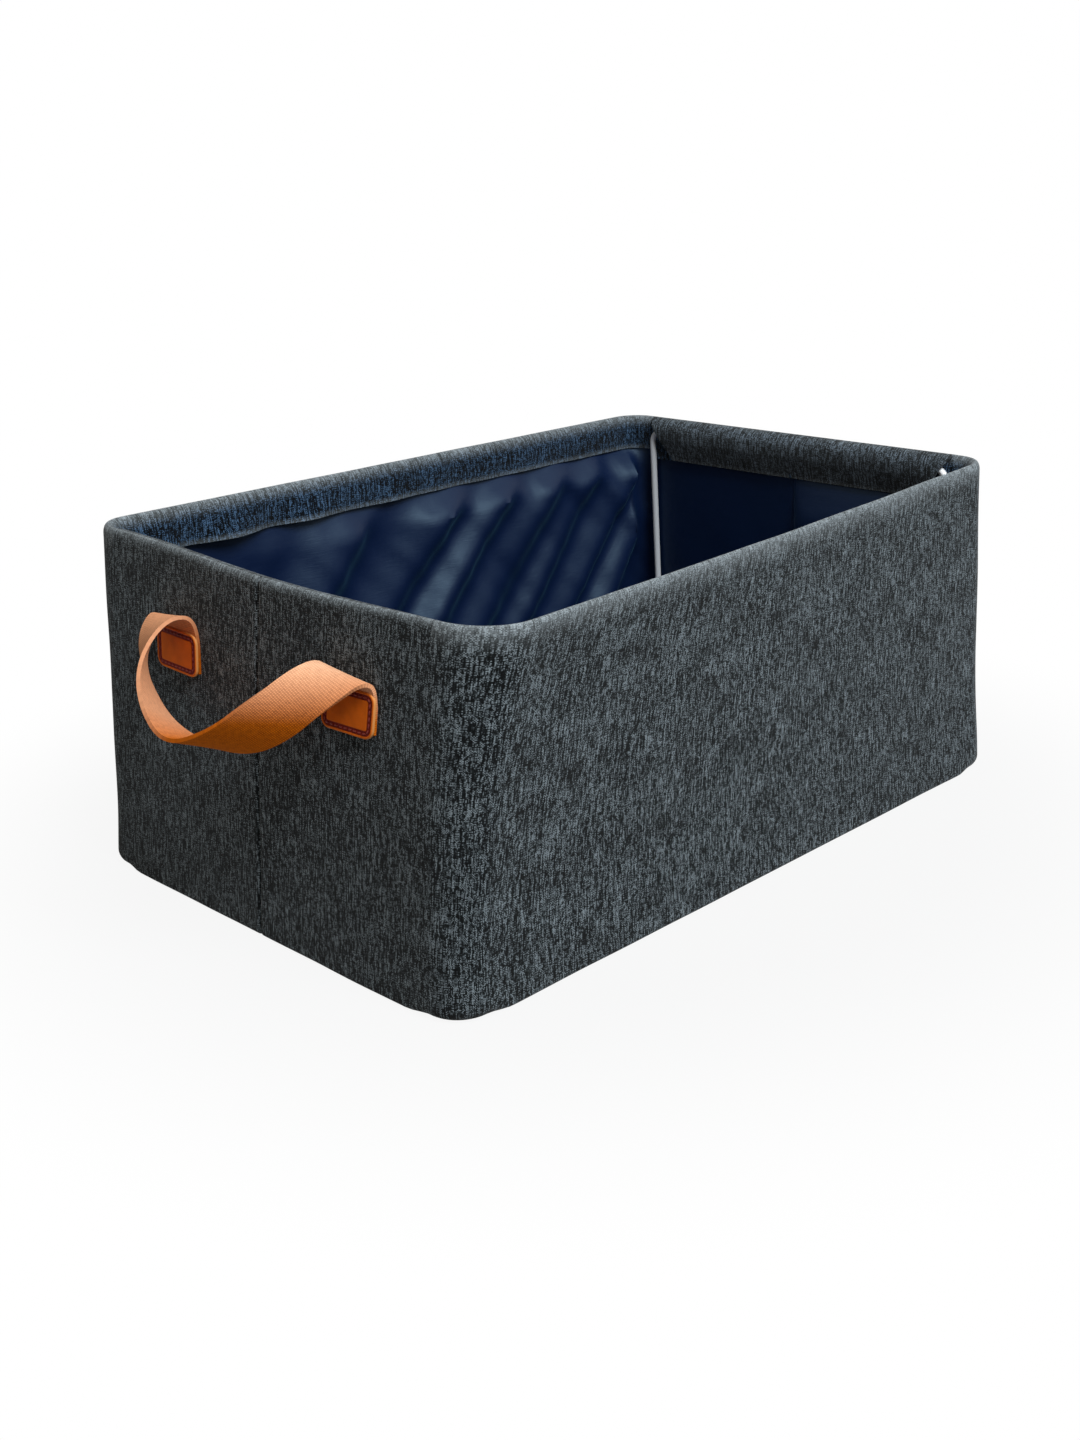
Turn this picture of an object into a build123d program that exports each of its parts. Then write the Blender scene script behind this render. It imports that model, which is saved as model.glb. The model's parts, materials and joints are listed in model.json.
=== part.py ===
"""Collapsible fabric storage bin with folding wire-framed ends and webbing handles."""

import os
from math import atan2, cos, degrees, hypot, sin

from build123d import *

os.makedirs("parts", exist_ok=True)

# Outside of the bin, in millimetres. +X runs along the bin and the front end is at -X.
LENGTH = 426.0  # at the floor
WIDTH = 276.0  # at the floor
HEIGHT = 180.0  # floor to rim
END_LEAN = 8.6  # how far an end leans in at the rim
SIDE_LEAN = 4.6  # how far a long wall leans in at the rim
CORNER_R = 18.4  # upright corners, outside

# Cloth layers of a wall, from the outside in
OUTER_T = 1.0
INTERLINING_T = 1.5
LINING_T = 0.6
HEM_T = 1.0
LAYER_GAP = 0.2  # between two layers that are sewn together
FOLD_GAP = 0.4  # between an end and what it swings past
SIDE_HEM = 22.0  # depth of the turned-in rim on the long walls
END_HEM = 27.0  # depth of the turned-in rim on the ends
HEM_LAP = 8.0  # how far the lining runs up behind the hem

# Base, from the floor up
BASE_T = 1.0
BOARD_T = 2.5
BOARD_SETBACK = 0.4  # from the board's edge to the face of the interlining

# Wire rings, one standing in each end
WIRE_D = 4.0
WIRE_BEND_R = 8.0  # at the middle of the wire
WIRE_DROP = 7.0  # rim to the middle of the top bar
WIRE_CLEAR = 0.3  # round the wire, in its tunnel and in its sleeve
LEG_SETBACK = 5.0  # edge of the end panel to the middle of a leg
SLEEVE_T = 0.6
SLEEVE_FLANGE = 12.0  # sewn down on the floor lining
TUNNEL_LOW = 4.0  # front of the tunnel stays upright this far below the bar
TUNNEL_FOOT = 3.0  # foot of the tunnel to the hem's lower edge

# Handles: webbing, sewn to the end under a leather patch at each side
STRAP_W = 30.0
STRAP_T = 1.8
STRAP_SPACING = 130.0  # middle to middle of the two sewn ends
STRAP_END_Z = 120.0  # lower edge of a sewn end, up the wall
STRAP_RISE = 17.0  # sewn length, to where the webbing starts to roll over
STRAP_ROLL_R = 8.6  # at the middle of the webbing
STRAP_SEAT = 0.1  # between the wall and the webbing, and webbing and patch
STRAP_CLEAR = 0.3  # between the rolled-over end and the loop that swings from it
PATCH_W = 33.0
PATCH_H = 18.5
PATCH_T = 1.2
PATCH_R = 2.5
PATCH_LIP = 1.5  # patch below the webbing's lower edge

# Where the loop's two edges run, from the roll to the middle of the loop. Each point is
# sideways as a share of half the spacing, up the wall from the roll's top, and out from the wall.
LOOP_LOWER = [(1.06, -16.0, 18.0), (0.78, -29.5, 21.0), (0.45, -38.5, 22.5), (0.0, -42.0, 23.0)]
LOOP_UPPER = [(0.75, 3.0, 20.0), (0.6, -9.0, 37.5), (0.385, -23.0, 47.0), (0.0, -35.0, 52.0)]
LOOP_SPANS = 20  # sections along the loop, less one

# Worked out from the above
INTERLINING_IN = OUTER_T + LAYER_GAP
LINING_IN = INTERLINING_IN + INTERLINING_T + LAYER_GAP
HEM_IN = LINING_IN + LINING_T + LAYER_GAP
HEM_FACE = HEM_IN + HEM_T
WIRE_R = WIRE_D / 2
WIRE_IN = HEM_FACE + WIRE_CLEAR + WIRE_R
TUNNEL_FACE = WIRE_IN + WIRE_R + WIRE_CLEAR + HEM_T
BOARD_Z = BASE_T + LAYER_GAP
FLOOR_Z = BOARD_Z + BOARD_T + LAYER_GAP
FLOOR_TOP = FLOOR_Z + LINING_T
BOARD_IN = INTERLINING_IN + INTERLINING_T + BOARD_SETBACK
SLEEVE_BORE_R = WIRE_R + WIRE_CLEAR
SLEEVE_R = SLEEVE_BORE_R + SLEEVE_T
HINGE_Z = FLOOR_TOP + SLEEVE_R
SPLIT_Y = WIDTH / 2 - SIDE_LEAN - CORNER_R
END_Y = SPLIT_Y - FOLD_GAP / 2
LEG_Y = END_Y - LEG_SETBACK
BAR_Y = LEG_Y - WIRE_BEND_R
END_LOW = BASE_T + FOLD_GAP
LEAN_ANGLE = atan2(END_LEAN, HEIGHT)

# Outer face of the front end: x to the right as seen from outside, y up the wall, z outwards
FRONT_FACE = Plane(
    origin=(-LENGTH / 2, 0, 0),
    x_dir=(0, -1, 0),
    z_dir=(-cos(LEAN_ANGLE), 0, sin(LEAN_ANGLE)),
)


def save(part, name):
    """Label a finished piece and write it."""
    part.label = name
    export_step(part, f"parts/{name}.step")


def save_pair(part, name):
    """Write a piece of the front end, and its mirror image for the rear end."""
    save(part, f"front_{name}")
    save(mirror(part, about=Plane.YZ), f"rear_{name}")


def front_x(z, inset):
    """Place along X of a layer of the front end, at a height."""
    return -LENGTH / 2 + END_LEAN * z / HEIGHT + inset


def wall_outline(z, inset):
    """Draw the bin's rounded outline at a height, inset from its outer face."""
    lean = z / HEIGHT
    with BuildSketch(Plane.XY.offset(z)) as outline:
        RectangleRounded(
            LENGTH - 2 * (END_LEAN * lean + inset),
            WIDTH - 2 * (SIDE_LEAN * lean + inset),
            CORNER_R - inset,
        )
    return outline.sketch


def wall_layer(low, high, face, back):
    """One layer of cloth right round the bin, between two insets."""
    outside = [wall_outline(z, face) for z in (low, high)]
    inside = [wall_outline(z, back) for z in (low, high)]
    with BuildPart() as layer:
        loft(outside, ruled=True)
        loft(inside, ruled=True, mode=Mode.SUBTRACT)
    return layer.part


def side_of(layer, side):
    """The long wall of a layer with its two corners, on one side."""
    with BuildPart() as wall:
        add(layer)
        with Locations((0, side * (SPLIT_Y + FOLD_GAP / 2 + WIDTH / 2), HEIGHT / 2)):
            Box(2 * LENGTH, WIDTH, 2 * HEIGHT, mode=Mode.INTERSECT)
    return wall.part


def front_of(layer, y_low, y_high):
    """The front end of a layer, between two places across the bin."""
    with BuildPart() as panel:
        add(layer)
        with Locations((-LENGTH / 2, (y_low + y_high) / 2, HEIGHT / 2)):
            Box(LENGTH / 2, y_high - y_low, 2 * HEIGHT, mode=Mode.INTERSECT)
    return panel.part


# Base: cloth on the floor, a board on it and the floor lining over the board
with BuildPart() as base_cloth:
    loft([wall_outline(0, 0), wall_outline(BASE_T, 0)], ruled=True)
save(base_cloth.part, "base_cloth")

with BuildPart() as base_board:
    loft([wall_outline(z, BOARD_IN) for z in (BOARD_Z, BOARD_Z + BOARD_T)], ruled=True)
save(base_board.part, "base_board")

with BuildPart() as floor_lining:
    loft([wall_outline(z, BOARD_IN) for z in (FLOOR_Z, FLOOR_TOP)], ruled=True)
save(floor_lining.part, "floor_lining")

# Long walls: outer cloth, interlining, lining, and the rim turned in over them
rim_low = HEIGHT - HEM_T
lining_low = FLOOR_TOP + FOLD_GAP
side_layers = {
    "outer": wall_layer(BASE_T, HEIGHT, 0, OUTER_T),
    "interlining": wall_layer(
        BASE_T, rim_low - LAYER_GAP, INTERLINING_IN, INTERLINING_IN + INTERLINING_T
    ),
    "lining": wall_layer(
        lining_low, HEIGHT - SIDE_HEM + HEM_LAP, LINING_IN, LINING_IN + LINING_T
    ),
}
with BuildPart() as side_hem_ring:
    add(wall_layer(HEIGHT - SIDE_HEM, HEIGHT, HEM_IN, HEM_FACE))
    add(wall_layer(rim_low, HEIGHT, INTERLINING_IN, HEM_FACE))
side_layers["rim_hem"] = side_hem_ring.part

for layer_name, layer in side_layers.items():
    save(side_of(layer, 1), f"left_side_{layer_name}")
    save(side_of(layer, -1), f"right_side_{layer_name}")

# Ends: outer cloth and lining in two halves with a middle seam, one sheet of interlining
end_outer = wall_layer(END_LOW, HEIGHT, 0, OUTER_T)
end_lining = wall_layer(lining_low, HEIGHT - END_HEM + HEM_LAP, LINING_IN, LINING_IN + LINING_T)
end_interlining = wall_layer(
    END_LOW, rim_low - LAYER_GAP, INTERLINING_IN, INTERLINING_IN + INTERLINING_T
)
for half, y_low, y_high in (("left", LAYER_GAP / 2, END_Y), ("right", -END_Y, -LAYER_GAP / 2)):
    save_pair(front_of(end_outer, y_low, y_high), f"end_outer_{half}")
    save_pair(front_of(end_lining, y_low, y_high), f"end_lining_{half}")
save_pair(front_of(end_interlining, -END_Y, END_Y), "end_interlining")

# End hem: the rim turned in, and in front of it the tunnel that the wire's top bar runs in
hem_band = front_of(wall_layer(HEIGHT - END_HEM, HEIGHT, HEM_IN, HEM_FACE), -END_Y, END_Y)
hem_top = front_of(wall_layer(rim_low, HEIGHT, INTERLINING_IN, HEM_FACE), -END_Y, END_Y)
tunnel_knee = HEIGHT - WIRE_DROP - WIRE_R - TUNNEL_LOW
tunnel_foot = HEIGHT - END_HEM + TUNNEL_FOOT
tunnel_back = HEM_FACE - HEM_T / 2
with BuildPart() as end_hem:
    add(hem_band)
    add(hem_top)
    with BuildSketch(Plane.XZ) as tunnel_section:
        with BuildLine():
            Polyline(
                (front_x(HEIGHT, tunnel_back), HEIGHT),
                (front_x(HEIGHT, TUNNEL_FACE), HEIGHT),
                (front_x(tunnel_knee, TUNNEL_FACE), tunnel_knee),
                (front_x(tunnel_foot, tunnel_back), tunnel_foot),
                close=True,
            )
        make_face()
        with BuildLine():
            Polyline(
                (front_x(rim_low, HEM_FACE), rim_low),
                (front_x(rim_low, TUNNEL_FACE - HEM_T), rim_low),
                (front_x(tunnel_knee, TUNNEL_FACE - HEM_T), tunnel_knee),
                (front_x(tunnel_foot + HEM_T, HEM_FACE), tunnel_foot + HEM_T),
                close=True,
            )
        make_face(mode=Mode.SUBTRACT)
    extrude(amount=BAR_Y - WIRE_CLEAR, both=True)
save_pair(end_hem.part, "end_rim_hem")

# Wire ring: a closed rectangle of coated wire, its bottom bar on the hinge line
hinge_x = front_x(HINGE_Z, WIRE_IN)
bar_z = HEIGHT - WIRE_DROP
ring_height = hypot(front_x(bar_z, WIRE_IN) - hinge_x, bar_z - HINGE_Z)
ring_plane = Plane(
    origin=(hinge_x, 0, HINGE_Z),
    x_dir=(0, 1, 0),
    z_dir=(cos(LEAN_ANGLE), 0, -sin(LEAN_ANGLE)),
)
with BuildPart() as wire_ring:
    with BuildLine(ring_plane) as ring_path:
        FilletPolyline(
            (LEG_Y, 0),
            (LEG_Y, ring_height),
            (-LEG_Y, ring_height),
            (-LEG_Y, 0),
            radius=WIRE_BEND_R,
            close=True,
        )
    with BuildSketch(ring_path.line ^ 0):
        Circle(WIRE_R)
    sweep()
save_pair(wire_ring.part, "wire_ring")

# Hinge sleeve: a tube of cloth round the bottom bar, with a flange sewn to the floor lining
with BuildPart() as hinge_sleeve:
    with BuildSketch(Plane.XZ):
        with Locations((hinge_x, HINGE_Z)):
            Circle(SLEEVE_R)
        with Locations((hinge_x, FLOOR_TOP)):
            Rectangle(SLEEVE_R + SLEEVE_FLANGE, SLEEVE_T, align=(Align.MIN, Align.MIN))
        with Locations((hinge_x, HINGE_Z)):
            Circle(SLEEVE_BORE_R, mode=Mode.SUBTRACT)
    extrude(amount=BAR_Y - WIRE_CLEAR, both=True)
save_pair(hinge_sleeve.part, "hinge_sleeve")

# Handle ends: webbing sewn to the end and rolled over outwards, under a leather patch
roll_v = STRAP_END_Z + STRAP_RISE + STRAP_ROLL_R
roll_n = STRAP_SEAT + STRAP_T / 2 + STRAP_ROLL_R
roll_turn = 90 - degrees((STRAP_T / 2 + STRAP_CLEAR) / STRAP_ROLL_R)
for half, side in (("left", -1), ("right", 1)):
    strap_u = side * STRAP_SPACING / 2
    end_section = Plane(
        origin=FRONT_FACE.from_local_coords((strap_u, 0, 0)),
        x_dir=FRONT_FACE.z_dir,
        z_dir=(0, 1, 0),
    )
    with BuildPart() as strap_end:
        with BuildLine(end_section) as end_path:
            sewn = Line(
                (STRAP_SEAT + STRAP_T / 2, STRAP_END_Z),
                (STRAP_SEAT + STRAP_T / 2, STRAP_END_Z + STRAP_RISE),
            )
            JernArc(sewn @ 1, sewn % 1, STRAP_ROLL_R, -roll_turn)
        with BuildSketch(Plane(end_path.line @ 0, x_dir=(0, 1, 0), z_dir=end_path.line % 0)):
            Rectangle(STRAP_W, STRAP_T)
        sweep()
    save_pair(strap_end.part, f"strap_end_{half}")

    with BuildPart() as strap_patch:
        with BuildSketch(FRONT_FACE.offset(2 * STRAP_SEAT + STRAP_T)):
            with Locations((strap_u, STRAP_END_Z - PATCH_LIP + PATCH_H / 2)):
                RectangleRounded(PATCH_W, PATCH_H, PATCH_R)
        extrude(amount=PATCH_T)
    save_pair(strap_patch.part, f"strap_patch_{half}")


# Handle loop: one strip of webbing from roll to roll, which droops and twists on its way
def loop_edge(roll_u, points):
    """Smooth line of one edge of the loop, from the right roll to the left one."""
    half_spacing = STRAP_SPACING / 2
    half = [(roll_u, 0.0, roll_n)] + [(share * half_spacing, v, n) for share, v, n in points]
    whole = half + [(-u, v, n) for u, v, n in half[-2::-1]]
    return Spline([FRONT_FACE.from_local_coords((u, roll_v + v, n)) for u, v, n in whole])


lower_edge = loop_edge(STRAP_SPACING / 2 + STRAP_W / 2, LOOP_LOWER)
upper_edge = loop_edge(STRAP_SPACING / 2 - STRAP_W / 2, LOOP_UPPER)
with BuildPart() as handle_loop:
    for index in range(LOOP_SPANS + 1):
        share = index / LOOP_SPANS
        low, high = lower_edge @ share, upper_edge @ share
        across = (high - low).normalized()
        along = lower_edge % share + upper_edge % share
        along -= across * along.dot(across)
        with BuildSketch(Plane(origin=(low + high) / 2, x_dir=across, z_dir=along)):
            Rectangle(STRAP_W, STRAP_T)
    loft(ruled=True)
save_pair(handle_loop.part, "handle_loop")

print(f"hinge line x {hinge_x:.2f} z {HINGE_Z:.2f}")
roll_line = FRONT_FACE.from_local_coords((0, roll_v, roll_n))
print(f"handle line x {roll_line.X:.2f} z {roll_line.Z:.2f}")
print(f"wire ring {wire_ring.part.volume:.0f} mm3, loop {handle_loop.part.volume:.0f} mm3")
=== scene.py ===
"""Dresses the folding storage bin in its cloth, wire and webbing, and stages its picture."""

import json
import math
from functools import partial

import bpy
import numpy as np
from bpy.props import FloatProperty, FloatVectorProperty, PointerProperty
from mathutils import Matrix, Vector, noise


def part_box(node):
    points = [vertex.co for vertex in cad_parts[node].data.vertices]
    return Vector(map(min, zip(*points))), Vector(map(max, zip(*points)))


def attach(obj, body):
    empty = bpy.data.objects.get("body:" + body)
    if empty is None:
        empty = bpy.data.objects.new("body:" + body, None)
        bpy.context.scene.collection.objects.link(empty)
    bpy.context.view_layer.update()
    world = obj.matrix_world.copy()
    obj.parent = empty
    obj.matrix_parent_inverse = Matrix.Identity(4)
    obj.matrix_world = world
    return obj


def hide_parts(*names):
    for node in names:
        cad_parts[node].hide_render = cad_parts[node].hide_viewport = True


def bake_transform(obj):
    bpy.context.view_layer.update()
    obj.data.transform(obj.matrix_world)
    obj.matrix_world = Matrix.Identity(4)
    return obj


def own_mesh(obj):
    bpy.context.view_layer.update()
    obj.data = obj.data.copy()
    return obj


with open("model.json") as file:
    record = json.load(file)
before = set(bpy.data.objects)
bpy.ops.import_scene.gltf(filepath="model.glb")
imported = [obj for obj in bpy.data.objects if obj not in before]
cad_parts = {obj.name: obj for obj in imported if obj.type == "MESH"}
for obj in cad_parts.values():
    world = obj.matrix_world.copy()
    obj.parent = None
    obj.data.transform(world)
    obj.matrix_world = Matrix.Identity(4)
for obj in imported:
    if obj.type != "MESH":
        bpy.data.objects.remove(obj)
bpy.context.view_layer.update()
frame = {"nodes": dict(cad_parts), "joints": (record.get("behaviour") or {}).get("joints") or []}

bl_info = {
    "name": "Folding storage bin",
    "version": (1, 0, 0),
    "blender": (4, 5, 0),
    "location": "View3D > Sidebar > Bin",
    "description": "Sews the cloth, lining, wire and handles of a folding storage bin round its solids",
    "category": "Add Mesh",
}

MM = 0.001
GRID = 4 * MM  # spacing of a sheet's points along its straight stretches
SEAM_STEPS = np.array([0.02, 0.4, 0.8, 1.3, 2.0, 3.5]) * MM  # the closer points beside a middle seam
RIPPLE_WIDTH = 45 * MM
WORLD_LIGHT = 0.27
# Name, place, power, width and colour of each soft lamp
LAMPS = (
    ("key", (-0.2, -1.4, 1.75), 65, 1.0, "f2f9ff"),
    ("fill", (-2.4, 0.2, 1.0), 2, 1.8, "ffe8c0"),
)
# The fitted camera: its place, its azimuth, elevation and roll in degrees, its focal length and its sensor
CAMERA_PLACE = Vector((-623.9, -608.6, 361.1)) * MM
CAMERA_TURN = (-44.69, 19.53, -1.64)
CAMERA_LENS, CAMERA_SENSOR = 41.75, 36
ENDS = {"front": -1, "rear": 1}  # way along X
SIDES = {"left": 1, "right": -1}  # way along Y


def linear(hex_colour):
    """An sRGB hex colour as linear red, green, blue and alpha."""
    shares = [int(hex_colour[i:i + 2], 16) / 255 for i in (0, 2, 4)]
    return tuple(c / 12.92 if c <= 0.04045 else ((c + 0.055) / 1.055) ** 2.4 for c in shares) + (1.0,)


def length_value(name, description, default):
    """A length that a user may change, in metres."""
    return FloatProperty(name=name, description=description, default=default, unit="LENGTH", precision=4)


def move_value(name, description, default):
    """A move along X, Y and Z that a user may change, in metres."""
    return FloatVectorProperty(name=name, description=description, default=default, subtype="TRANSLATION")


def colour_value(name, description, hex_colour):
    """A colour that a user may change."""
    return FloatVectorProperty(
        name=name, description=description, default=linear(hex_colour), size=4, subtype="COLOR", min=0, max=1
    )


BASE_LOW, BASE_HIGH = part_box("base_cloth")
RIM_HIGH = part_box("left_side_outer")[1].z
RING_LOW, RING_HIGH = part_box("front_wire_ring")
SLEEVE_LOW, SLEEVE_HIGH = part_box("front_hinge_sleeve")
FLOOR_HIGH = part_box("floor_lining")[1]
JOINTS = {joint["name"]: joint for joint in frame["joints"]}
HINGE = Vector(JOINTS["front_fold"]["pos_m"])


class BinSizes(bpy.types.PropertyGroup):
    """The bin's walls, as its solids have them."""

    length: length_value("Length", "Outside length at the floor", BASE_HIGH.x - BASE_LOW.x)
    width: length_value("Width", "Outside width at the floor", BASE_HIGH.y - BASE_LOW.y)
    height: length_value("Height", "Floor to the top of the padded rim", RIM_HIGH + 1.4 * MM)
    end_lean: length_value("End lean", "How far an end leans in at the rim", 8.6 * MM)
    side_lean: length_value("Side lean", "How far a long wall leans in at the rim", 4.6 * MM)
    corner: length_value("Corner radius", "Outside radius of the upright corners", 18.4 * MM)
    end_half: length_value("End half", "Middle of an end to where its cloth parts from a long wall", 115 * MM)
    cloth: length_value("Cloth", "Thickness of the outer cloth", 0.9 * MM)
    lining: length_value("Lining", "Thickness of the lining", 0.5 * MM)
    felt: length_value("Interlining", "Thickness of the felt in the walls", 1.5 * MM)
    felt_in: length_value("Interlining inset", "Outer face to the felt", 1.2 * MM)
    lining_in: length_value("Lining inset", "Outer face to the visible face of the lining", 3.5 * MM)
    rim_thick: length_value("Hem edge", "Outer face to the hem's face at its lower edge", 5.8 * MM)
    roll_out: length_value("Roll depth", "Outer face to the top of the rolled rim", 2.2 * MM)
    roll_drop: length_value("Roll height", "Height over which the outer face rolls in at the rim", 4.5 * MM)
    hem_puff: length_value("Hem puff", "How far the turned-in hem swells inwards", 3.4 * MM)
    foot_round: length_value("Foot rounding", "Radius where a straight wall turns under", 2 * MM)
    corner_foot: length_value("Corner foot", "Radius where a corner turns under", 6.5 * MM)
    foot_bulge: length_value("Foot bulge", "How far the walls swell out just above the floor", 1.5 * MM)
    side_hem: length_value("Side hem", "Depth of the turned-in rim on a long wall", 21 * MM)
    end_hem: length_value("End hem", "Depth of the turned-in rim on an end", 27 * MM)


class BinSlack(bpy.types.PropertyGroup):
    """How the slack cloth stands, away from the plain shape of the solids."""

    near_corner: move_value(
        "Near corner", "How far the rim moves at the front right corner", (9.9 * MM, -14.4 * MM, -8.6 * MM)
    )
    near_round: length_value("Near rounding", "Extra corner radius at the rim, front right", 10 * MM)
    rim_dip: move_value(
        "Rim dip", "How far the middle of the front rim bows out and down", (-4.5 * MM, 0, -1.8 * MM)
    )
    side_dip: length_value("Side dip", "How far the middle of the right rim sags", 2 * MM)
    dip_middle: length_value("Dip middle", "Place of the deepest dip across the front", -14 * MM)
    dip_width: length_value("Dip width", "Width of the dip across the front", 232 * MM)
    ripple: length_value("Ripple", "Height of the soft waves in the outer cloth", 0.5 * MM)
    spare: FloatProperty(
        name="Spare lining", description="How much larger the lining is cut", default=0.02, subtype="FACTOR",
        min=0, max=1,
    )
    lining_lift: length_value("Lining lift", "How far the slack lining stands off the wall", 1 * MM)


class HandleSizes(bpy.types.PropertyGroup):
    """The webbing handles and their patches."""

    width: length_value("Width", "Width of the webbing", 30 * MM)
    thickness: length_value("Thickness", "Thickness of the webbing", 1.8 * MM)
    spacing: length_value("Spacing", "Middle to middle of the sewn ends", 123 * MM)
    shift: length_value("Shift", "How far the front handle sits off the middle", -3.5 * MM)
    patch_width: length_value("Patch width", "Across a patch", 33 * MM)
    patch_height: length_value("Patch height", "Up a patch", 21 * MM)
    patch_thick: length_value("Patch thickness", "Thickness of the leather", 1.4 * MM)
    patch_low: length_value("Patch place", "Floor to the lower edge of a patch", 121.5 * MM)


class BinColours(bpy.types.PropertyGroup):
    """Colours of the cloth, wire, webbing and leather."""

    cloth_dark: colour_value("Cloth, dark yarn", "Darkest yarn of the heather", "020303")
    cloth_mid: colour_value("Cloth, middle yarn", "Middle yarn of the heather", "111415")
    cloth_light: colour_value("Cloth, light yarn", "Palest yarn of the heather", "778085")
    # Painted shade: a bluish, darker colour multiplied into the inner face of the hem, for the shade and blue
    # light inside the bin
    cloth_painted_shade: colour_value("Cloth, turned in", "Cast of the cloth on the inner face of the hem", "98bfec")
    # Rubbed pale wear along the rim, together with painted highlight on the rolled rim and the hems' folded
    # edges
    cloth_wear_and_highlight: colour_value("Cloth, worn", "Where the rim is rubbed pale", "9aa1a4")
    lining: colour_value("Lining", "Lining cloth", "03102e")
    felt: colour_value("Felt", "Interlining felt", "c9c7c0")
    board: colour_value("Board", "Base board", "9c8468")
    wire: colour_value("Wire", "Coating of the wire", "f7f8f9")
    webbing: colour_value("Webbing", "Yarn of the webbing", "e2740f")
    # Rubbed pale wear, together with painted highlight on the strap's crests
    webbing_wear_and_highlight: colour_value("Webbing, worn", "Where the webbing is rubbed pale", "f3c6a2")
    leather: colour_value("Leather", "Face of the patches", "e66c0c")
    leather_edge: colour_value("Leather edge", "Cut edge of the patches", "d08a4c")
    thread: colour_value("Patch thread", "Thread round the patches", "6a1608")


# Shape of the walls


def half_round(size):
    """Lengths of the end, corner and long stretches of half the outline, at half height."""
    end = size.width / 2 - size.side_lean / 2 - size.corner
    corner = size.corner * math.pi / 2
    long_wall = size.length - size.end_lean - 2 * size.corner
    return end, corner, long_wall


def whole_round(size):
    """Length of the outline at half height."""
    end, corner, long_wall = half_round(size)
    return 2 * (2 * end + 2 * corner + long_wall)


def end_middle(size, end):
    """Place of the middle of an end round the outline."""
    return 0 if end == "front" else whole_round(size) / 2


def from_front(size, around):
    """Places round the outline as lengths from the middle of the front, to the left below zero."""
    whole = whole_round(size)
    return (around + whole / 2) % whole - whole / 2


def soften(points, follow=(1, 1, 1)):
    """Move points of the plain bin to where its slack cloth stands, or follow its near corner in part."""
    size, slack = bpy.context.scene.bin_sizes, bpy.context.scene.bin_slack
    x, y, z = points[..., 0], points[..., 1], points[..., 2]
    front = np.clip(0.5 - x / size.length, 0, 1)
    right = np.clip(0.5 - y / size.width, 0, 1)
    rise = np.clip(z / size.height, 0, 1) ** 2
    across = np.clip((y - slack.dip_middle) / slack.dip_width, -0.5, 0.5)
    dip = np.cos(np.pi * across) ** 2 * ramp(front, 0.75, 0.25)
    sag = np.sin(np.pi * front) * ramp(right, 0.75, 0.25)
    moved = points + (front * right * rise)[..., None] * np.array(slack.near_corner) * np.array(follow)
    moved = moved + (dip * rise)[..., None] * np.array(slack.rim_dip)
    return moved - (sag * rise)[..., None] * np.array([0, 0, slack.side_dip])


def wall_points(around, inset, rise):
    """Points of the wall: round from the middle of the front to the right, in from its face, and up."""
    size, slack = bpy.context.scene.bin_sizes, bpy.context.scene.bin_slack
    around, inset, rise = np.broadcast_arrays(around, inset, rise)
    end, corner, long_wall = half_round(size)
    signed_run = from_front(size, around)
    right, run = signed_run >= 0, np.abs(signed_run)
    share = rise / size.height
    half_x = size.length / 2 - size.end_lean * share - inset
    half_y = size.width / 2 - size.side_lean * share - inset
    rear_r = size.corner - inset
    front_r = rear_r + slack.near_round * np.clip(share, 0, 1) ** 2 * right
    rear_corner = end + corner + long_wall
    on_near = ramp(run, 0, end)
    turn = ramp(run, end, corner) * np.pi / 2
    on_long = ramp(run, end + corner, long_wall)
    far_turn = ramp(run, rear_corner, corner) * np.pi / 2
    on_far = ramp(run, rear_corner + corner, end)
    x = -half_x + front_r * (1 - np.cos(turn)) + on_long * (2 * half_x - front_r - rear_r)
    x = x + rear_r * np.sin(far_turn)
    y = on_near * (half_y - front_r) + front_r * np.sin(turn)
    y = y - rear_r * (1 - np.cos(far_turn)) - on_far * (half_y - rear_r)
    return soften(np.stack([x, np.where(right, -y, y), rise], axis=-1))


def spread(low, high, step):
    """Evenly spaced values from low to high, about a step apart."""
    return np.linspace(low, high, max(2, round(abs(high - low) / step) + 1))


def joined(*runs):
    """Runs of values one after the other, without the doubled values between them."""
    values = np.concatenate(runs)
    return values[np.concatenate([[True], np.abs(np.diff(values)) > 1e-6])]


def ramp(value, start, length):
    """Nought up to a start, then evenly up to one over a length."""
    return np.clip((value - start) / length, 0, 1)


def run_along(points):
    """Length along a line of points, from its start."""
    return np.concatenate([[0], np.cumsum(np.linalg.norm(np.diff(points, axis=0), axis=1))])


def side_stations(size, side):
    """Places round a long wall and its corners, from one open edge to the other."""
    end, corner, long_wall = half_round(size)
    rear_corner = end + corner + long_wall
    edge_step, corner_step = 1.2 * MM, 1.8 * MM
    places = joined(
        spread(size.end_half, end, edge_step),
        spread(end, end + corner, corner_step),
        spread(end + corner, rear_corner, GRID),
        spread(rear_corner, rear_corner + corner, corner_step),
        spread(rear_corner + corner, whole_round(size) / 2 - size.end_half, edge_step),
    )
    return places if side == "right" else -places[::-1]


def end_halves(size):
    """Each half of each end: its end, side, way along X, and places from the middle of the end."""
    half = joined(SEAM_STEPS, spread(6 * MM, size.end_half, GRID))
    for end, way in ENDS.items():
        for side, sign in SIDES.items():
            yield end, side, way, half if sign == way else -half[::-1]


def seam_dip(local, depth, lip, width):
    """How far a sheet dips towards the middle seam, from its lip outwards."""
    return depth * np.exp(-((np.abs(local) - lip) / width) ** 2)


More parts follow.
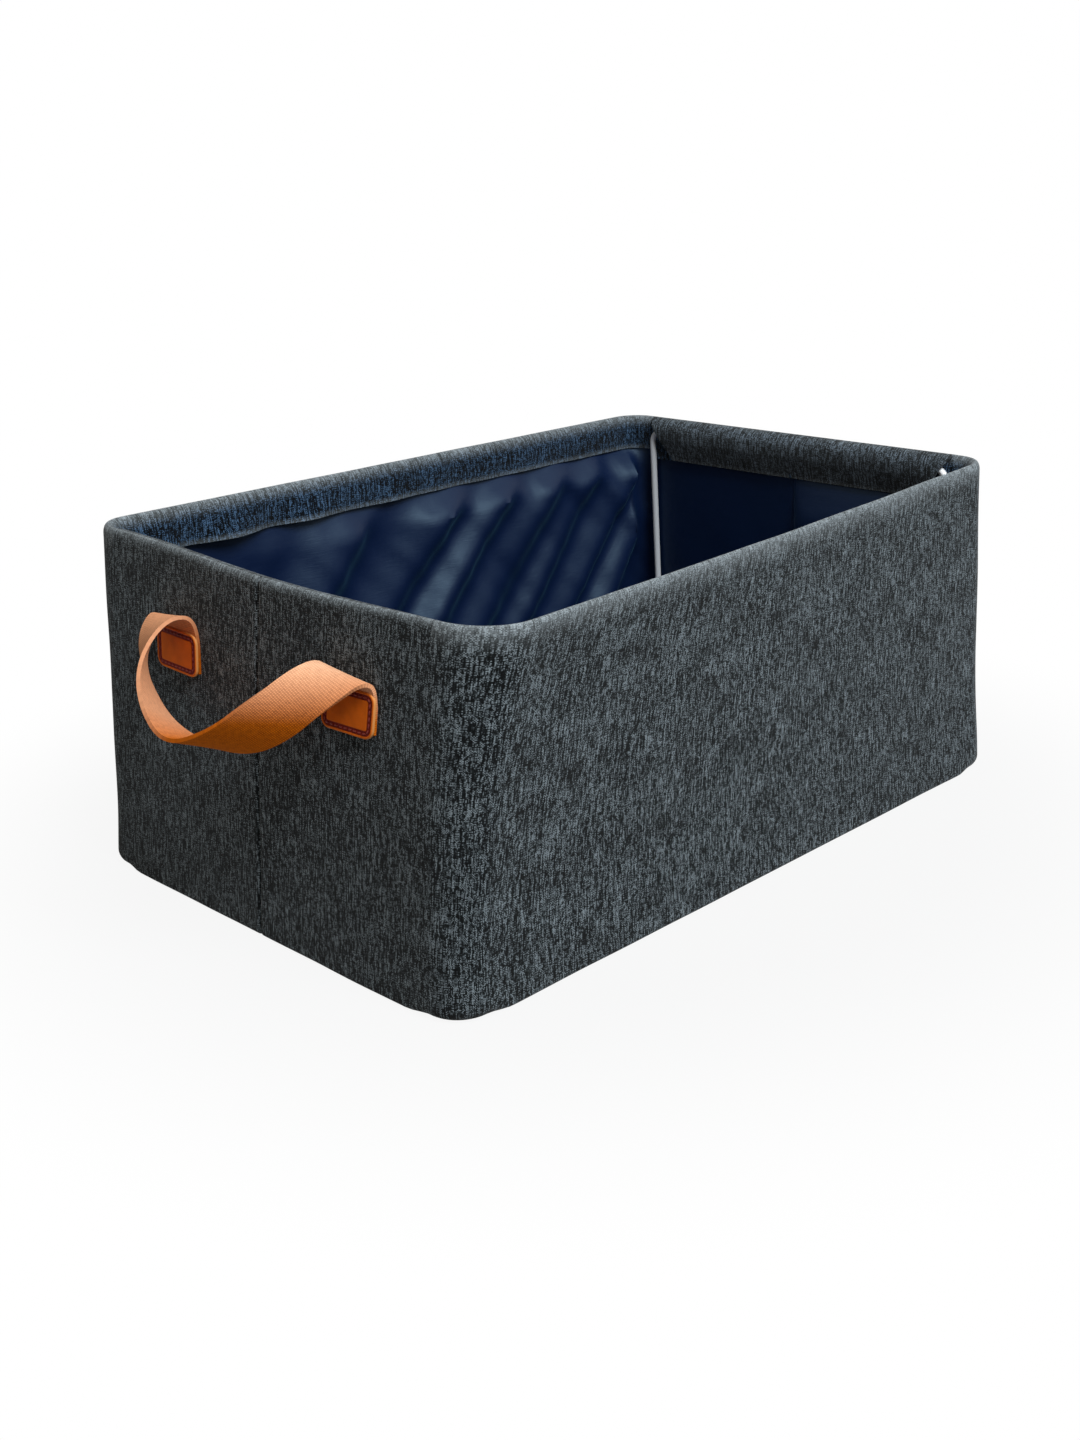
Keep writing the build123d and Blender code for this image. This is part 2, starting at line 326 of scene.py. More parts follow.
def foot_radius(around):
    """Radius where the wall turns under: small along the straight stretches, larger round the corners."""
    size = bpy.context.scene.bin_sizes
    end, corner, long_wall = half_round(size)
    run = np.abs(from_front(size, around))
    corners = (end + corner / 2, end + 1.5 * corner + long_wall)
    off = np.minimum(*(np.abs(run - middle) for middle in corners)) - corner / 2
    share = np.clip(1 - off / (14 * MM), 0, 1)
    return size.foot_round + (size.corner_foot - size.foot_round) * share ** 2 * (3 - 2 * share)


def cloth_profile(around, hem):
    """Inset, height and length along the cloth, from under the foot over the rim to the hem's edge."""
    size, radius = bpy.context.scene.bin_sizes, foot_radius(around)
    foot = np.radians(spread(0, 90, 10))[:, None]
    roll = np.radians(spread(0, 90, 9))[:, None]
    shoulder = size.height - size.roll_drop
    wall = spread(0, 1, GRID / size.height)[1:-1, None]
    turned = spread(0, 1, 0.08)[1:, None] ** 2
    puff = size.hem_puff * np.sin(np.pi * turned ** 0.6)
    flat = 0 * radius
    inset = np.concatenate([
        radius * (1 - np.sin(foot)),
        flat + 0 * wall,
        size.roll_out * (1 - np.cos(roll)) + flat,
        size.roll_out + (size.rim_thick - size.roll_out) * turned + puff + flat,
    ])
    rise = np.concatenate([
        radius * (1 - np.cos(foot)),
        radius + (shoulder - radius) * wall,
        shoulder + size.roll_drop * np.sin(roll) + flat,
        size.height - hem * turned + flat,
    ])
    bulge_height = 30 * MM
    inset = inset - size.foot_bulge * np.exp(-(rise / bulge_height) ** 2)
    steps = np.hypot(np.diff(inset, axis=0), np.diff(rise, axis=0))
    return inset, rise, np.concatenate([[flat], np.cumsum(steps, axis=0)])


def waves(around, rise, width, seed):
    """Soft random waves of a given width over a wall, from about -1 to 1."""
    around, rise = np.broadcast_arrays(around, rise)
    places = zip(around.ravel(), rise.ravel())
    return np.array([noise.noise((a / width, r / width, seed)) for a, r in places]).reshape(around.shape)


def outer_ripple(around, rise, seed):
    """How far the outer cloth waves in and out of its plain face."""
    return bpy.context.scene.bin_slack.ripple * waves(around, rise, RIPPLE_WIDTH, seed)


def on_end(end, u, v, out):
    """Points on an end's outer face: to the right seen from the front, up the wall, and out from it."""
    size, handle = bpy.context.scene.bin_sizes, bpy.context.scene.bin_handle
    u, v, out = np.broadcast_arrays(u, v, out)
    way = ENDS[end]
    shift = handle.shift if end == "front" else 0
    x = way * (size.length / 2 - size.end_lean * v / size.height)
    lean = math.atan2(size.end_lean, size.height)
    outwards = np.array([way * math.cos(lean), 0, math.sin(lean)])
    return soften(np.stack([x, shift - u, v], axis=-1)) + out[..., None] * outwards


# Making pieces


def choose(obj):
    """Make one object the only selected and active one."""
    bpy.ops.object.select_all(action="DESELECT")
    obj.select_set(True)
    bpy.context.view_layer.objects.active = obj


def pick(obj, kind, test):
    """In edit mode, select only the faces or edges of a mesh that pass a test."""
    bpy.ops.mesh.select_mode(type=kind)
    bpy.ops.mesh.select_all(action="DESELECT")
    bpy.ops.object.mode_set(mode="OBJECT")
    for item in obj.data.polygons if kind == "FACE" else obj.data.edges:
        item.select = test(item)
    bpy.ops.object.mode_set(mode="EDIT")


def start_block(name, dimensions, middle, corner, segments):
    """A block with rounded upright edges, left in edit mode."""
    bpy.ops.object.select_all(action="DESELECT")
    bpy.ops.mesh.primitive_cube_add(size=1)
    block = bpy.context.object
    block.name = block.data.name = name
    block.dimensions, block.location = dimensions, middle
    bpy.ops.object.transform_apply(location=True, rotation=False, scale=True)
    spots, half = block.data.vertices, dimensions[2] / 2
    bpy.ops.object.mode_set(mode="EDIT")
    pick(block, "EDGE", lambda e: abs(spots[e.vertices[0]].co.z - spots[e.vertices[1]].co.z) > half)
    bpy.ops.mesh.bevel(offset=corner, segments=segments)
    return block


def mesh_object(name, points, faces):
    """A new object from points and faces."""
    mesh = bpy.data.meshes.new(name)
    mesh.from_pydata(np.asarray(points, float).reshape(-1, 3).tolist(), [], faces)
    obj = bpy.data.objects.new(name, mesh)
    bpy.context.scene.collection.objects.link(obj)
    return obj


def new_curve(name, kind, points):
    """A curve with one spline through or along points, and that spline."""
    curve = bpy.data.curves.new(name, "CURVE")
    curve.dimensions = "3D"
    spline = curve.splines.new(kind)
    spline.points.add(len(points) - 1)
    spline.points.foreach_set("co", np.concatenate([points, np.ones((len(points), 1))], axis=1).ravel())
    return curve, spline


def mark(obj, name, values):
    """Keep a value for each point of a mesh, for its material."""
    layer = obj.data.attributes.new(name, "FLOAT", "POINT")
    layer.data.foreach_set("value", np.asarray(values, np.float32).ravel())


def finish_piece(obj, finish):
    """Give a piece its material and smooth faces."""
    obj.data.materials.clear()
    obj.data.materials.append(finish)
    choose(obj)
    bpy.ops.object.shade_smooth_by_angle(angle=math.radians(50))


def sheet_faces(rows, columns):
    """Faces of a grid of points."""
    return [
        (r * columns + c, r * columns + c + 1, (r + 1) * columns + c + 1, (r + 1) * columns + c)
        for r in range(rows - 1)
        for c in range(columns - 1)
    ]


def sew_sheet(name, points, across, along, thickness, finish, wear=0.0, turned_in=0.0):
    """A sheet of cloth from a grid of points on its visible face, with a map in metres, wear, painted
    highlight and painted shade.
    """
    obj = mesh_object(name, points, sheet_faces(*points.shape[:2]))
    across, along = np.broadcast_arrays(across, along)
    flat = np.stack([across.ravel(), along.ravel()], axis=-1)
    corners = np.zeros(len(obj.data.loops), np.int32)
    obj.data.loops.foreach_get("vertex_index", corners)
    cloth_map = obj.data.uv_layers.new(name="cloth")
    cloth_map.data.foreach_set("uv", flat[corners].astype(np.float32).ravel())
    mark(obj, "wear", np.broadcast_to(wear, across.shape))
    mark(obj, "turned_in", np.broadcast_to(turned_in, across.shape))
    choose(obj)
    thicken = obj.modifiers.new("Thickness", "SOLIDIFY")
    thicken.thickness, thicken.offset = thickness, -1
    bpy.ops.object.modifier_apply(modifier=thicken.name)
    finish_piece(obj, finish)
    return obj


def true_run(points, start):
    """Length along the middle row of a grid of points."""
    return start + run_along(points[len(points) // 2])


def past_top(rise, run):
    """Length along the cloth from the top of the rim, below zero on its outer face."""
    return run - run[np.argmax(rise[:, 0])]


def rim_wear_and_highlight(rise, run, outside, inside):
    """How pale the cloth is painted, rubbed wear and painted highlight together: most along the top of the
    rim, fading down both of its faces.
    """
    past = past_top(rise, run)
    return np.clip(1 - np.abs(past) / np.where(past < 0, outside, inside), 0, 1) ** 1.6


def hem_edge_highlight(run):
    """How pale the folded lower edge of a hem is painted: a painted highlight, where the fold catches light.
    """
    width = 2.5 * MM
    return 0.45 * ramp(run, run[-1] - width, width)


def hem_share(rise, run):
    """How far the cloth is turned in: nothing up to the top of the rim, wholly a little way down inside."""
    return ramp(past_top(rise, run), 0, 8 * MM)


def sew_stitches(name, path, radius, finish):
    """A row of stitches along a line, each a short bead of thread."""
    pitch, length = 3.0 * MM, 2.2 * MM
    run = run_along(path)
    count = max(1, round(run[-1] / pitch))
    middles = (np.arange(count) + 0.5) * run[-1] / count
    starts, stops = (
        np.stack([np.interp(middles + step, run, path[:, k]) for k in range(3)], axis=-1)
        for step in (-length / 2, length / 2)
    )
    bpy.ops.object.select_all(action="DESELECT")
    bpy.ops.mesh.primitive_uv_sphere_add(segments=6, ring_count=5, radius=1)
    bead = bpy.context.object
    shape = np.array([v.co for v in bead.data.vertices])
    faces = [tuple(p.vertices) for p in bead.data.polygons]
    bpy.data.objects.remove(bead)
    points, all_faces = [], []
    for start, stop in zip(starts, stops):
        along = stop - start
        reach = np.linalg.norm(along)
        along = along / reach
        side = np.cross(along, (0, 0, 1) if abs(along[2]) < 0.9 else (1, 0, 0))
        side = side / np.linalg.norm(side)
        up = np.cross(side, along)
        base = len(points) * len(shape)
        points.append(
            (start + stop) / 2 + shape[:, 2:] * along * reach / 2
            + shape[:, :1] * side * radius + shape[:, 1:2] * up * radius
        )
        all_faces += [tuple(base + i for i in face) for face in faces]
    stitches = mesh_object(name, np.concatenate(points), all_faces)
    finish_piece(stitches, finish)
    return stitches


def fold_blend(obj):
    """Bake where an end's cloth stands into its points."""
    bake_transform(obj)


def crumple(obj):
    """Attach a long wall's cloth to the base, with a mesh of its own."""
    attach(obj, "base")
    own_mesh(obj)


# Materials


def add_node(tree, kind, sockets=None, **settings):
    """Add a shader node. Its sockets get a value, or a link from a node, or from (node, output)."""
    node = tree.nodes.new("ShaderNode" + kind)
    for name, value in settings.items():
        setattr(node, name, value)
    for key, value in (sockets or {}).items():
        if isinstance(value, bpy.types.Node):
            tree.links.new(next(output for output in value.outputs if output.enabled), node.inputs[key])
        elif isinstance(value, tuple) and isinstance(value[0], bpy.types.Node):
            tree.links.new(value[0].outputs[value[1]], node.inputs[key])
        else:
            node.inputs[key].default_value = value
    return node


def start_nodes(owner):
    """Empty the node tree of a material or a world, and give the function that adds a node to it."""
    owner.use_nodes = True
    owner.node_tree.nodes.clear()
    return partial(add_node, owner.node_tree)


def made_of(finish):
    """The material that one of the functions below describes, made once and named for it."""
    material = bpy.data.materials.get(finish.__name__)
    if material is None:
        material = bpy.data.materials.new(finish.__name__)
        add = start_nodes(material)
        shader = add("BsdfPrincipled", finish(add, bpy.context.scene.bin_colours))
        add("OutputMaterial", {"Surface": shader})
    return material


def yarn_dashes(add, place, thread, dash, across, along):
    """A random tone for each dash of mottled yarn, a thread wide and a dash long, each thread out of step."""
    spot = add("SeparateXYZ", {"Vector": place})
    counted = add("Math", {0: (spot, across), 1: 1 / thread}, operation="MULTIPLY")
    yarn = add("Math", {0: counted}, operation="FLOOR")
    step = add("TexWhiteNoise", {"W": yarn}, noise_dimensions="1D")
    run = add("Math", {0: (spot, along), 1: 1 / dash, 2: step}, operation="MULTIPLY_ADD")
    piece = add("Math", {0: run}, operation="FLOOR")
    cell = add("CombineXYZ", {"X": yarn, "Y": piece})
    return add("TexWhiteNoise", {"Vector": cell}, noise_dimensions="3D")


def heather_canvas(add, colours):
    """Polyester canvas, woven of mottled yarn: pale and dark dashes along the threads, no gloss."""
    place = add("UVMap", uv_map="cloth")
    # Threads are about 0.45 mm; they are drawn a quarter coarser, to show in the render
    thread, dash, streak_run, cloud_run = 0.56 * MM, 1.6 * MM, 12 * MM, 22 * MM
    warp = yarn_dashes(add, place, thread, dash, "X", "Y")
    weft = yarn_dashes(add, place, thread, dash, "Y", "X")
    dull_weft = add("Math", {0: weft, 1: 0.7}, operation="MULTIPLY")
    over = add("TexChecker", {"Vector": place, "Scale": 1 / thread})
    woven = add("Mix", {"Factor": (over, "Fac"), "A": warp, "B": dull_weft}, data_type="FLOAT")
    drawn_out = add("Mapping", {"Vector": place, "Scale": (1 / (1.6 * thread), 1 / streak_run, 1)})
    streak = add("TexNoise", {"Vector": drawn_out, "Scale": 1.0, "Detail": 2.0})
    bold_streak = add("MapRange", {"Value": streak, "From Min": 0.3, "From Max": 0.7})
    streaked = add("Mix", {"Factor": 0.42, "A": woven, "B": bold_streak}, data_type="FLOAT")
    cloud = add("TexNoise", {"Vector": place, "Scale": 1 / cloud_run, "Detail": 3.0})
    tone = add("Mix", {"Factor": 0.18, "A": streaked, "B": cloud}, data_type="FLOAT")
    shades = add("ValToRGB", {"Fac": tone})
    stops = shades.color_ramp.elements
    stops[0].position, stops[0].color = 0.22, colours.cloth_dark
    stops[1].position, stops[1].color = 0.72, colours.cloth_light
    stops.new(0.47).color = colours.cloth_mid
    # Painted shade: the hem's inner face is multiplied towards a bluish, darker colour
    turned = add("Attribute", attribute_name="turned_in")
    shaded = add(
        "Mix", {"Factor": (turned, "Fac"), "A": shades, "B": tuple(colours.cloth_painted_shade)},
        data_type="RGBA", blend_type="MULTIPLY",
    )
    # Rubbed wear and painted highlight: mixed towards a pale colour along the rim and the hems' folded edges
    rubbed_and_highlit = add("Attribute", attribute_name="wear")
    share = add("Math", {0: (rubbed_and_highlit, "Fac"), 1: tone}, operation="MULTIPLY")
    colour = add("Mix", {"Factor": share, "A": shaded, "B": tuple(colours.cloth_wear_and_highlight)}, data_type="RGBA")
    knots = add("TexNoise", {"Vector": place, "Scale": 1 / (2 * thread), "Detail": 1.0})
    bump = add("Bump", {"Strength": 0.5, "Distance": 0.25 * MM, "Height": knots})
    return {
        "Base Color": colour, "Roughness": 0.9, "Specular IOR Level": 0.05, "Sheen Weight": 0.1,
        "Sheen Roughness": 0.5, "Normal": bump,
    }


def taffeta_lining(add, colours):
    """Polyester taffeta: a dark dense weave with a soft satin shine on its folds."""
    place = add("UVMap", uv_map="cloth")
    # Threads are about 0.15 mm; the crosswise ribs are drawn at 0.8 mm, to show in the render
    rib, crease = 0.8 * MM, 9 * MM
    ribs = add("Mapping", {"Vector": place, "Scale": (1 / crease, 1 / rib, 1)})
    rib_tone = add("TexNoise", {"Vector": ribs, "Scale": 1.0, "Detail": 2.0}, noise_dimensions="2D")
    crinkle = add("TexNoise", {"Vector": place, "Scale": 1 / crease, "Detail": 4.0}, noise_dimensions="2D")
    height = add("Mix", {"Factor": 0.25, "A": crinkle, "B": rib_tone}, data_type="FLOAT")
    bump = add("Bump", {"Strength": 0.35, "Distance": 0.6 * MM, "Height": height})
    return {
        "Base Color": tuple(colours.lining), "Roughness": 0.5, "Specular IOR Level": 0.4,
        "Specular Tint": linear("b4d3e0"), "Sheen Weight": 0.1, "Sheen Roughness": 0.4,
        "Sheen Tint": linear("5c9ab8"), "Normal": bump,
    }


def wadding_felt(add, colours):
    """Non-woven polyester felt: off-white, fuzzy and flat."""
    fuzz = add("TexNoise", {"Vector": (add("TexCoord"), "Object"), "Scale": 1 / (1.5 * MM), "Detail": 4.0})
    tone = add("Mix", {"Factor": fuzz, "A": tuple(colours.felt), "B": linear("a8a69e")}, data_type="RGBA")
    bump = add("Bump", {"Strength": 0.4, "Distance": 0.3 * MM, "Height": fuzz})
    return {"Base Color": tone, "Roughness": 0.95, "Normal": bump}


def hardboard(add, colours):
    """Pressed fibre board: brown, with short fibres and a dull face."""
    fibre = add("TexNoise", {"Vector": (add("TexCoord"), "Object"), "Scale": 1 / (2 * MM), "Detail": 5.0})
    tone = add("Mix", {"Factor": fibre, "A": tuple(colours.board), "B": linear("6d5940")}, data_type="RGBA")
    return {"Base Color": tone, "Roughness": 0.8}


def coated_wire(add, colours):
    """Steel wire dipped in white plastic: smooth, softly glossy, a little uneven."""
    drips = add("TexNoise", {"Vector": (add("TexCoord"), "Object"), "Scale": 1 / (6 * MM), "Detail": 2.0})
    bump = add("Bump", {"Strength": 0.15, "Distance": 0.2 * MM, "Height": drips})
    return {"Base Color": tuple(colours.wire), "Roughness": 0.25, "IOR": 1.9, "Normal": bump}


def cotton_webbing(add, colours):
    """Cotton webbing in a tight tabby weave: matt, with a fine grid of thread crowns."""
    place = add("UVMap", uv_map="cloth")
    # Yarns are about 0.7 mm; they are drawn at 1.1 mm, to show in the render
    yarn = 1.1 * MM
    # At scale 1 a wave texture has 20 / (2 pi) bands to a unit
    bands = {"Vector": place, "Scale": 2 * math.pi / (20 * yarn)}
    across, along = (add("TexWave", bands, bands_direction=axis) for axis in "XY")
    crowns = add("Math", {0: (across, "Fac"), 1: (along, "Fac")}, operation="MULTIPLY")
    slub = add("TexNoise", {"Vector": place, "Scale": 1 / (2.5 * MM), "Detail": 3.0}, noise_dimensions="2D")
    height = add("Mix", {"Factor": 0.4, "A": crowns, "B": slub}, data_type="FLOAT")
    shades = add("ValToRGB", {"Fac": height})
    stops = shades.color_ramp.elements
    stops[0].position, stops[0].color = 0.1, linear("a04c08")
    stops[1].position, stops[1].color = 0.6, colours.webbing
    # Rubbed wear and painted highlight, paler on the thread crowns
    rubbed_and_highlit = add("Attribute", attribute_name="wear")
    crowned = add("Math", {0: height, 1: 0.6, 2: 0.45}, operation="MULTIPLY_ADD")
    share = add("Math", {0: (rubbed_and_highlit, "Fac"), 1: crowned}, operation="MULTIPLY")
    colour = add("Mix", {"Factor": share, "A": shades, "B": tuple(colours.webbing_wear_and_highlight)}, data_type="RGBA")
    bump = add("Bump", {"Strength": 0.6, "Distance": 0.35 * MM, "Height": height})
    return {
        "Base Color": colour, "Roughness": 0.9, "Specular IOR Level": 0.05, "Sheen Weight": 0.02,
        "Sheen Roughness": 0.5, "Sheen Tint": linear("f0c8a0"), "Normal": bump,
    }


def bonded_leather(add, colours):
    """Bonded leather with a smooth coated face: amber, faintly grained, softly shining."""
    place = add("TexCoord"), "Object"
    grain = add("TexVoronoi", {"Vector": place, "Scale": 1 / (1.2 * MM)})
    cloud = add("TexNoise", {"Vector": place, "Scale": 1 / (7 * MM), "Detail": 3.0})
    face = {"Factor": cloud, "A": tuple(colours.leather), "B": linear("b05008")}
    colour = add("Mix", face, data_type="RGBA")
    # The groove is painted the thread's dark red, partly thread colour and partly painted shade in the recess
    for name, tint in (("groove", colours.thread), ("cut_edge", colours.leather_edge)):
        part = add("Attribute", attribute_name=name)
        colour = add("Mix", {"Factor": (part, "Fac"), "A": colour, "B": tuple(tint)}, data_type="RGBA")
    bump = add("Bump", {"Strength": 0.25, "Distance": 0.2 * MM, "Height": grain})
    return {"Base Color": colour, "Roughness": 0.65, "Specular IOR Level": 0.12, "Normal": bump}


def patch_thread(add, colours):
    """Spun polyester thread: matt, with a twist too fine to show."""
    twist = add("TexNoise", {"Vector": (add("TexCoord"), "Object"), "Scale": 1 / (0.6 * MM), "Detail": 2.0})
    bump = add("Bump", {"Strength": 0.3, "Distance": 0.1 * MM, "Height": twist})
    return {"Base Color": tuple(colours.thread), "Roughness": 0.75, "Normal": bump}


# Operators, one for each kind of piece


class BIN_OT_outer_cloth(bpy.types.Operator):
    """Sew the outer cloth: long walls with their corners, and the two halves of each end"""

    bl_idname = "bin.outer_cloth"
    bl_label = "Outer cloth"

    def execute(self, context):
        size = context.scene.bin_sizes
        canvas = made_of(heather_canvas)
        for side, way in SIDES.items():
            around = side_stations(size, side)
            inset, rise, run = cloth_profile(around, size.side_hem)
            # The turned-in share shapes the hem's flare and also sets the painted shade on its inner face
            turned = hem_share(rise, run)
            inset = inset + self.flare(around, rise, turned, way)
            points = wall_points(around, inset + outer_ripple(around, rise, way), rise)
            across = true_run(points, around[0])
            # Rubbed wear and painted highlight along the rim, and painted highlight along the hem's folded
            # edge
            wear = rim_wear_and_highlight(rise, run, outside=15 * MM, inside=10 * MM) + hem_edge_highlight(run)
            cloth = sew_sheet(f"{side}_side_cloth", points, across, run, size.cloth, canvas, wear, turned)
            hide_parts(f"{side}_side_outer", f"{side}_side_rim_hem")
            crumple(cloth)

        for end, side, way, local in end_halves(size):
            around = end_middle(size, end) + local
            inset, rise, run = cloth_profile(around, size.end_hem)
            seam = seam_dip(local, depth=1.05 * MM, lip=0.02 * MM, width=0.9 * MM)
            points = wall_points(around, inset + outer_ripple(around, rise, way) + seam, rise)
            # Rubbed wear and painted highlight along the rim; the turned-in share sets the painted shade on
            # the hem
            wear, turned = rim_wear_and_highlight(rise, run, outside=6 * MM, inside=8 * MM), hem_share(rise, run)
            name = f"{end}_end_cloth_{side}"
            cloth = sew_sheet(name, points, around, run, size.cloth, canvas, wear, turned)
            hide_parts(f"{end}_end_outer_{side}")
            fold_blend(cloth)
        return {"FINISHED"}

    def flare(self, around, rise, turned, way):
        """How far a hem's free edge stands in, in scallops that are deepest towards the front."""
        size = bpy.context.scene.bin_sizes
        down = turned * (size.height - rise) / size.side_hem
        off = np.abs(around)
        forward = (1 - ramp(off, 0, 0.3 * whole_round(size))) * ramp(off, 145 * MM, 30 * MM)
        scallop = 0.5 + waves(around, 0 * rise, width=28 * MM, seed=31 * way)
        return down ** 2 * scallop * (1.6 + 12 * forward) * MM


class BIN_OT_interlining(bpy.types.Operator):
    """Cut the felt that stiffens each wall"""

    bl_idname = "bin.interlining"
    bl_label = "Interlining"

    def execute(self, context):
        size = context.scene.bin_sizes
        rise = spread(size.corner_foot, size.height - 6 * MM, 6 * MM)[:, None]
        set_back = 4 * MM  # from the open edges of the cloth, so that it doesn't show
        for side, way in SIDES.items():
            around = side_stations(size, side)
            around = around[(around > around[0] + set_back) & (around < around[-1] - set_back)]
            felt = self.cut(f"{side}_side_felt", around, rise, way)
            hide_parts(f"{side}_side_interlining")
            crumple(felt)
        half = size.end_half - set_back
        for end, way in ENDS.items():
            around = end_middle(size, end) + spread(-half, half, 5 * MM)
            felt = self.cut(f"{end}_end_felt", around, rise, way)
            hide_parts(f"{end}_end_interlining")
            fold_blend(felt)
        return {"FINISHED"}

    def cut(self, name, around, rise, way):
        """One sheet of felt, behind the ripples of the outer cloth."""
        size = bpy.context.scene.bin_sizes
        points = wall_points(around, size.felt_in + outer_ripple(around, rise, way), rise)
        felt = sew_sheet(name, points, around, rise, size.felt, made_of(wadding_felt))
        return felt


class BIN_OT_wire_tunnels(bpy.types.Operator):
    """Sew the turned-in flap on each end that holds the wire's top bar"""

    bl_idname = "bin.wire_tunnels"
    bl_label = "Wire tunnels"

    def execute(self, context):
        size = context.scene.bin_sizes
        top_in, face_in, foot_in = size.roll_out, 10.3 * MM, size.rim_thick + 0.8 * MM
        roll_low = size.height - 8 * MM
        knee, foot = roll_low - 5 * MM, size.height - size.end_hem + 0.5 * MM
        mouth_top, mouth_foot = 113.5 * MM, 95 * MM  # half widths
        roll, slope = np.radians(spread(0, 90, 7.5)), spread(0, 1, 0.1)[1:]
        inset = np.concatenate([
            top_in + (face_in - top_in) * np.sin(roll), [face_in], face_in + (foot_in - face_in) * slope,
        ])[:, None]
        rise = np.concatenate([
            roll_low + (size.height - roll_low) * np.cos(roll), [knee], knee + (foot - knee) * slope,
        ])[:, None]
        run = run_along(np.hstack([inset, rise]))[:, None]
        _, end_rise, end_run = cloth_profile(np.zeros(1), size.end_hem)
        top_run = end_run[np.argmax(end_rise[:, 0])]
        reach = mouth_top + (mouth_foot - mouth_top) * ramp(size.height - rise, 0, size.end_hem)
        # A little painted light over the whole flap, painted highlight along its folded edge, and a weaker
        # painted shade
        wear, turned = 0.15 + hem_edge_highlight(run), np.clip(run / (16 * MM), 0, 0.4)
        for end, way in ENDS.items():
            around = end_middle(size, end) + reach * spread(-1, 1, 0.04)
            pucker = 0.7 * MM * waves(around, rise, width=22 * MM, seed=7 + way) * ramp(run, 0, 12 * MM)
            # Pressed flatter towards the slack near corner
            near = np.clip(around / mouth_top, 0, 1) ** 2 if end == "front" else 0
            points = wall_points(around, top_in + (inset - top_in) * (1 - 0.4 * near) + pucker, rise)
            flap = sew_sheet(
                f"{end}_wire_tunnel", points, around, top_run + run, size.cloth, made_of(heather_canvas),
                wear, turned,
            )
            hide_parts(f"{end}_end_rim_hem")
            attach(flap, f"{end}_end")
        return {"FINISHED"}


